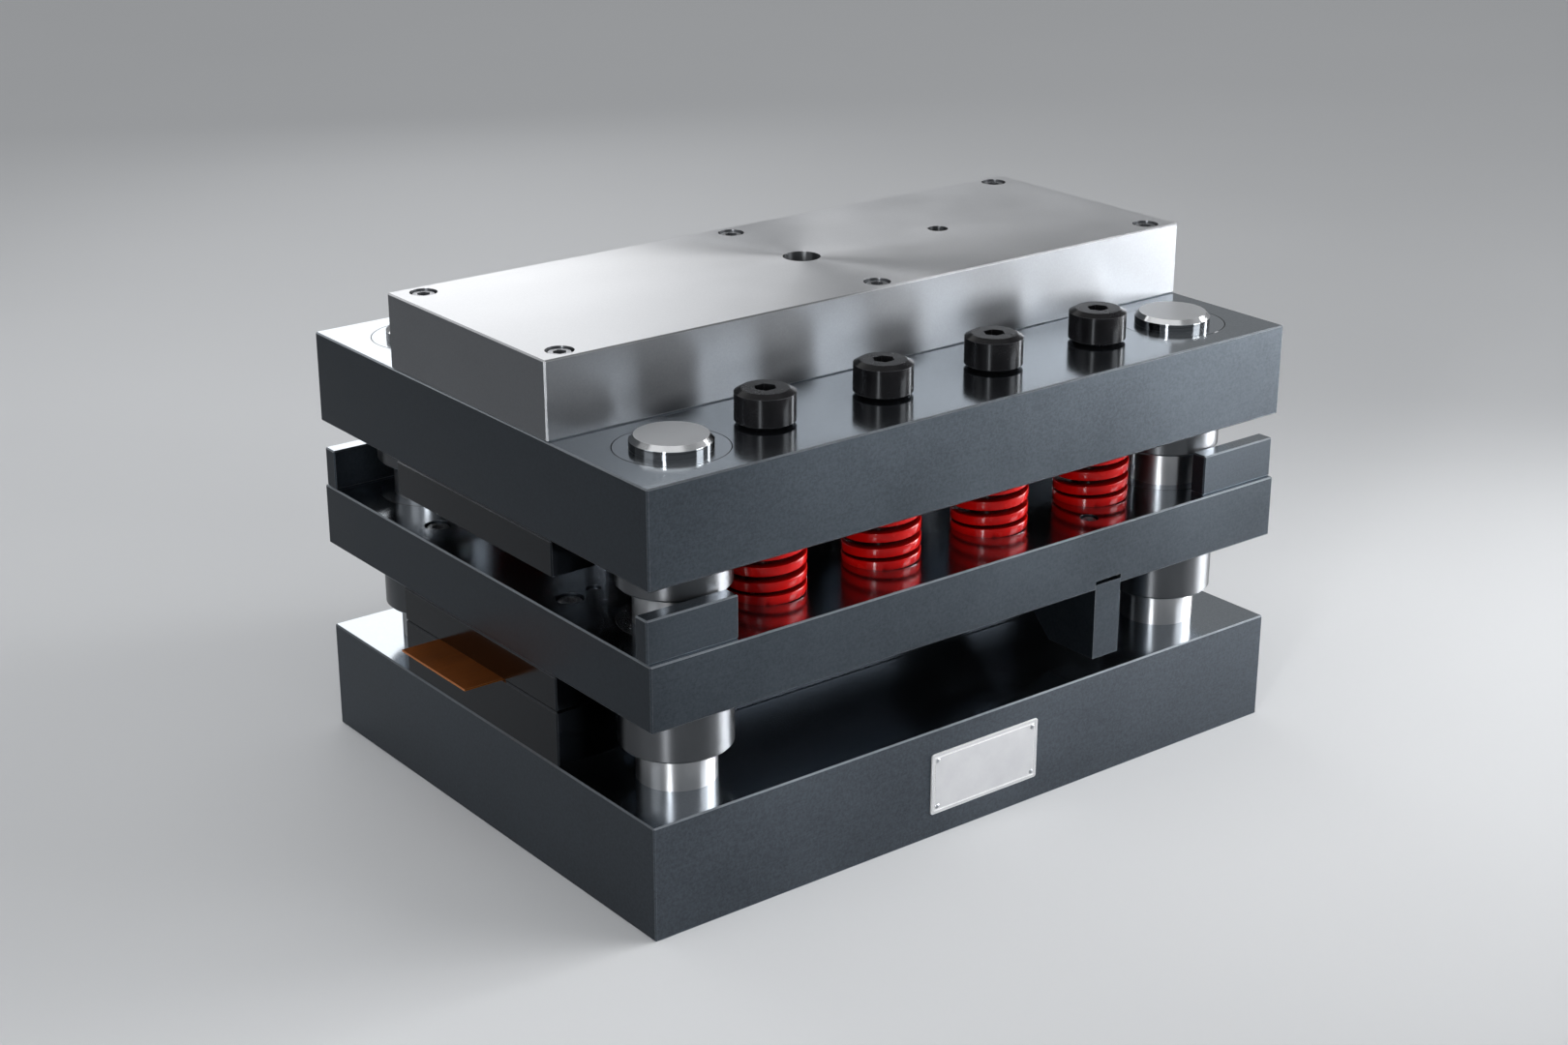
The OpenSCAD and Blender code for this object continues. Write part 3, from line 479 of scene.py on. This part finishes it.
def spring_mesh(foot, length, outer_radius):
    """Vertices and faces of a spring on its foot, with a closed coil ground flat at each end."""
    middle = outer_radius - WIRE_W / 2
    end_rise = WIRE_H + COIL_PLAY
    rise = length - 2 * WIRE_TIP + WIRE_H
    coils = ACTIVE_COILS + 2
    coil_rise = (rise - 2 * end_rise) / ACTIVE_COILS
    outline = rounded_outline(WIRE_W, WIRE_H, WIRE_ROUND, CORNER_STEPS)
    rings = coils * STEPS_PER_COIL + 1
    verts = []
    for ring in range(rings):
        turn = ring / STEPS_PER_COIL
        if turn < 1:
            climb = turn * end_rise
        elif turn > coils - 1:
            climb = rise - (coils - turn) * end_rise
        else:
            climb = end_rise + (turn - 1) * coil_rise
        angle = 2 * math.pi * turn
        for out, up in outline:
            level = min(max(WIRE_TIP - WIRE_H / 2 + climb + up, 0.0), length)
            level = max(level, WIRE_TIP) if up > 0 else min(level, length - WIRE_TIP)
            x, y = (middle + out) * math.cos(angle), (middle + out) * math.sin(angle)
            verts.append((x + foot[0], y + foot[1], level + foot[2]))
    return verts, side_faces(rings, len(outline)) + end_faces(rings, len(outline))


def make_springs():
    """One smooth spring in place of each spring node, on the stripper's body."""
    for side in ("front", "rear"):
        for number in range(1, SPRINGS_IN_ROW + 1):
            node = f"{side}_spring_{number}"
            low, high = (Vector(corner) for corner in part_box(node))
            foot = ((low.x + high.x) / 2, (low.y + high.y) / 2, low.z)
            length = high.z - low.z
            verts, faces = spring_mesh(foot, length, (high.x - low.x) / 2)
            spring = mesh_object(f"{node}_wire", verts, faces, FINISHES["spring_red"], smooth_angle=50.0)
            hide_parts(node)
            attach(spring, "stripper")
            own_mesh(spring)


# The data plate on the base's front face: its broken edge, the groove inside its border, its rivets
PLATE_W = 58.0 * MM
PLATE_H = 27.0 * MM
PLATE_T = 0.6 * MM
PLATE_CORNER = 1.2 * MM
PLATE_LEAST_CORNER = 0.3 * MM
PLATE_BREAK = 0.25 * MM
PLATE_Z = 24.0 * MM
GROOVE_INSET = 1.5 * MM
GROOVE_W = 0.5 * MM
GROOVE_SLOPE = 0.1 * MM
GROOVE_DEPTH = 0.15 * MM
RIVET_INSET = 3.2 * MM
RIVET_R = 1.1 * MM
RIVET_RISE = 0.35 * MM
RIVET_SEGMENTS = 28
RIVET_RINGS = 6


def make_plate():
    """A thin bare plate that stands on the front face."""
    groove_end = GROOVE_INSET + GROOVE_W
    groove_floor = PLATE_T - GROOVE_DEPTH
    layers = [
        (0.0, 0.0),
        (0.0, PLATE_T - PLATE_BREAK),
        (PLATE_BREAK, PLATE_T),
        (GROOVE_INSET, PLATE_T),
        (GROOVE_INSET + GROOVE_SLOPE, groove_floor),
        (groove_end - GROOVE_SLOPE, groove_floor),
        (groove_end, PLATE_T),
    ]
    verts = []
    for inset, out in layers:
        corner = max(PLATE_CORNER - inset, PLATE_LEAST_CORNER)
        ring = rounded_outline(PLATE_W - 2 * inset, PLATE_H - 2 * inset, corner)
        verts += [(x, BASE_FRONT - out, PLATE_Z + z) for x, z in ring]
    around = len(verts) // len(layers)
    faces = end_faces(len(layers), around) + side_faces(len(layers), around)
    plate = mesh_object("data_plate", verts, faces, plate_enamel("data_plate_enamel"), smooth_angle=25.0)
    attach(plate, "lower")


def make_rivet(name, x, z):
    """A low domed rivet head on the data plate."""
    face = BASE_FRONT - PLATE_T
    verts = []
    for ring in range(RIVET_RINGS):
        angle = math.radians(90.0 * ring / RIVET_RINGS)
        r, out = RIVET_R * math.cos(angle), RIVET_RISE * math.sin(angle)
        for k in range(RIVET_SEGMENTS):
            turn = 2 * math.pi * k / RIVET_SEGMENTS
            verts.append((x + r * math.cos(turn), face - out, z + r * math.sin(turn)))
    top = len(verts)
    verts.append((x, face - RIVET_RISE, z))
    last = top - RIVET_SEGMENTS
    faces = [tuple(range(RIVET_SEGMENTS))] + side_faces(RIVET_RINGS, RIVET_SEGMENTS)
    faces += [(last + k, last + (k + 1) % RIVET_SEGMENTS, top) for k in range(RIVET_SEGMENTS)]
    head = mesh_object(name, verts, faces, FINISHES["screw_steel"], smooth_angle=60.0)
    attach(head, "lower")


def make_data_plate():
    """The bare plate and its four rivets."""
    make_plate()
    for number, (across, up) in enumerate(((-1, -1), (1, -1), (1, 1), (-1, 1)), start=1):
        x = across * (PLATE_W / 2 - RIVET_INSET)
        z = PLATE_Z + up * (PLATE_H / 2 - RIVET_INSET)
        make_rivet(f"plate_rivet_{number}", x, z)


# Stage

FLOOR_R = 30.0
FLOOR_CORNERS = 64
# Distances from the middle between which the floor turns to its paler far colour
FLOOR_NEAR, FLOOR_FAR = 0.6, 3.0

# Strength of the room's light: from the front, from behind, and from above
ROOM_FRONT, ROOM_BACK, ROOM_TOP = 0.65, 0.26, 0.3
ROOM_COLOUR = tint(0.96, 0.98, 1.0)
# Directions, as parts of a unit vector, between which one part of the room turns to the next
FRONT_TO_BACK = (-0.2, 0.2)
SIDE_TO_TOP = (0.2, 0.7)

OPEN_BOX = 180.0
# Each soft box: its name, its place, the point that it faces and its size, in metres, then its
# watts and the spread of its light in degrees
SOFT_BOXES = (
    ("soft_box_top", (-0.2, 0.1, 1.7), (-0.1, 0.0, 0.0), (1.8, 1.8), 6.0, OPEN_BOX),
    ("soft_box_left", (-1.3, 0.1, 0.8), (0.0, 0.0, 0.12), (0.6, 0.5), 2.0, OPEN_BOX),
    ("soft_box_front", (0.78, -0.98, 0.6), (0.0, 0.0, 0.12), (0.5, 0.3), 5.0, OPEN_BOX),
    ("soft_box_back", (0.05, 0.62, 0.72), (-0.05, 0.0, 0.2), (0.7, 0.4), 0.9, OPEN_BOX),
    ("soft_box_back_left", (-0.25, 0.8, 0.6), (-0.12, 0.0, 0.2), (0.4, 0.3), 0.75, OPEN_BOX),
    ("soft_box_back_low", (0.45, 1.1, 0.5), (-0.1, 0.0, 0.15), (0.4, 0.3), 0.7, OPEN_BOX),
    ("low_box_front", (1.05, -0.75, 0.13), (0.1, -0.12, 0.22), (0.5, 0.2), 1.3, 60.0),
    ("low_box_right", (0.9, -0.45, 0.13), (0.1, -0.12, 0.12), (0.6, 0.22), 1.55, 40.0),
    ("strip_box_right", (0.95, -0.25, 0.42), (0.1, -0.1, 0.2), (0.12, 0.64), 0.5, 50.0),
    ("strip_box_camera", (-1.25, -0.87, 0.44), (0.0, 0.0, 0.26), (0.16, 0.7), 1.15, 50.0),
)


def make_floor():
    """A wide, flat and pale floor, paler far away."""
    turns = [2 * math.pi * i / FLOOR_CORNERS for i in range(FLOOR_CORNERS)]
    verts = [(FLOOR_R * math.cos(turn), FLOOR_R * math.sin(turn), 0.0) for turn in turns]
    finish = Finish("pale_floor", Roughness=0.9, Specular_IOR_Level=0.02)
    cloud = finish.noise(1.5, 3.0, 0.5)
    colour = finish.mix(finish.vary(cloud), tint(0.6, 0.61, 0.625), tint(0.64, 0.65, 0.665))
    far = finish.ramp(finish.length(finish.here), FLOOR_NEAR, FLOOR_FAR)
    material = finish.set(Base_Color=finish.mix(far, colour, tint(0.9, 0.905, 0.915)))
    floor = mesh_object("floor", verts, [tuple(range(FLOOR_CORNERS))], material, smooth_angle=60.0)


def make_room_light():
    """A dim room that is brighter behind the camera."""
    world = bpy.data.worlds.new("studio")
    bpy.context.scene.world = world
    world.use_nodes = True
    graph = Graph(world.node_tree)
    _, y, z = graph.axes(graph.node("ShaderNodeTexCoord").outputs["Generated"])
    low = graph.ramp(y, *FRONT_TO_BACK, ROOM_FRONT, ROOM_BACK)
    strength = graph.ramp(z, *SIDE_TO_TOP, low, ROOM_TOP)
    background = world.node_tree.nodes["Background"]
    graph.feed(background.inputs["Color"], ROOM_COLOUR)
    graph.feed(background.inputs["Strength"], strength)


def make_soft_boxes():
    """Rectangular lamps, some with a grid in front that narrows their light."""
    for name, place, target, size, watts, spread in SOFT_BOXES:
        data = bpy.data.lights.new(name, "AREA")
        data.shape = "RECTANGLE"
        data.size, data.size_y = size
        data.energy = watts
        data.spread = math.radians(spread)
        lamp = bpy.data.objects.new(name, data)
        lamp.location = place
        lamp.rotation_euler = (Vector(target) - Vector(place)).to_track_quat("-Z", "Y").to_euler()
        lamp.visible_camera = False
        bpy.context.scene.collection.objects.link(lamp)


def make_camera():
    """The photograph's camera."""
    data = bpy.data.cameras.new("camera")
    data.lens = LENS_MM
    data.sensor_width = SENSOR_MM
    data.sensor_fit = "HORIZONTAL"
    data.clip_start = NEAR_CLIP
    camera = bpy.data.objects.new("camera", data)
    camera.location = CAMERA_AT
    camera.rotation_euler = (CAMERA_TO - CAMERA_AT).to_track_quat("-Z", "Y").to_euler()
    bpy.context.scene.collection.objects.link(camera)
    bpy.context.scene.camera = camera


dress_nodes()
make_springs()
make_data_plate()
make_floor()
make_room_light()
make_soft_boxes()
make_camera()
bpy.context.scene.view_settings.view_transform = "Standard"
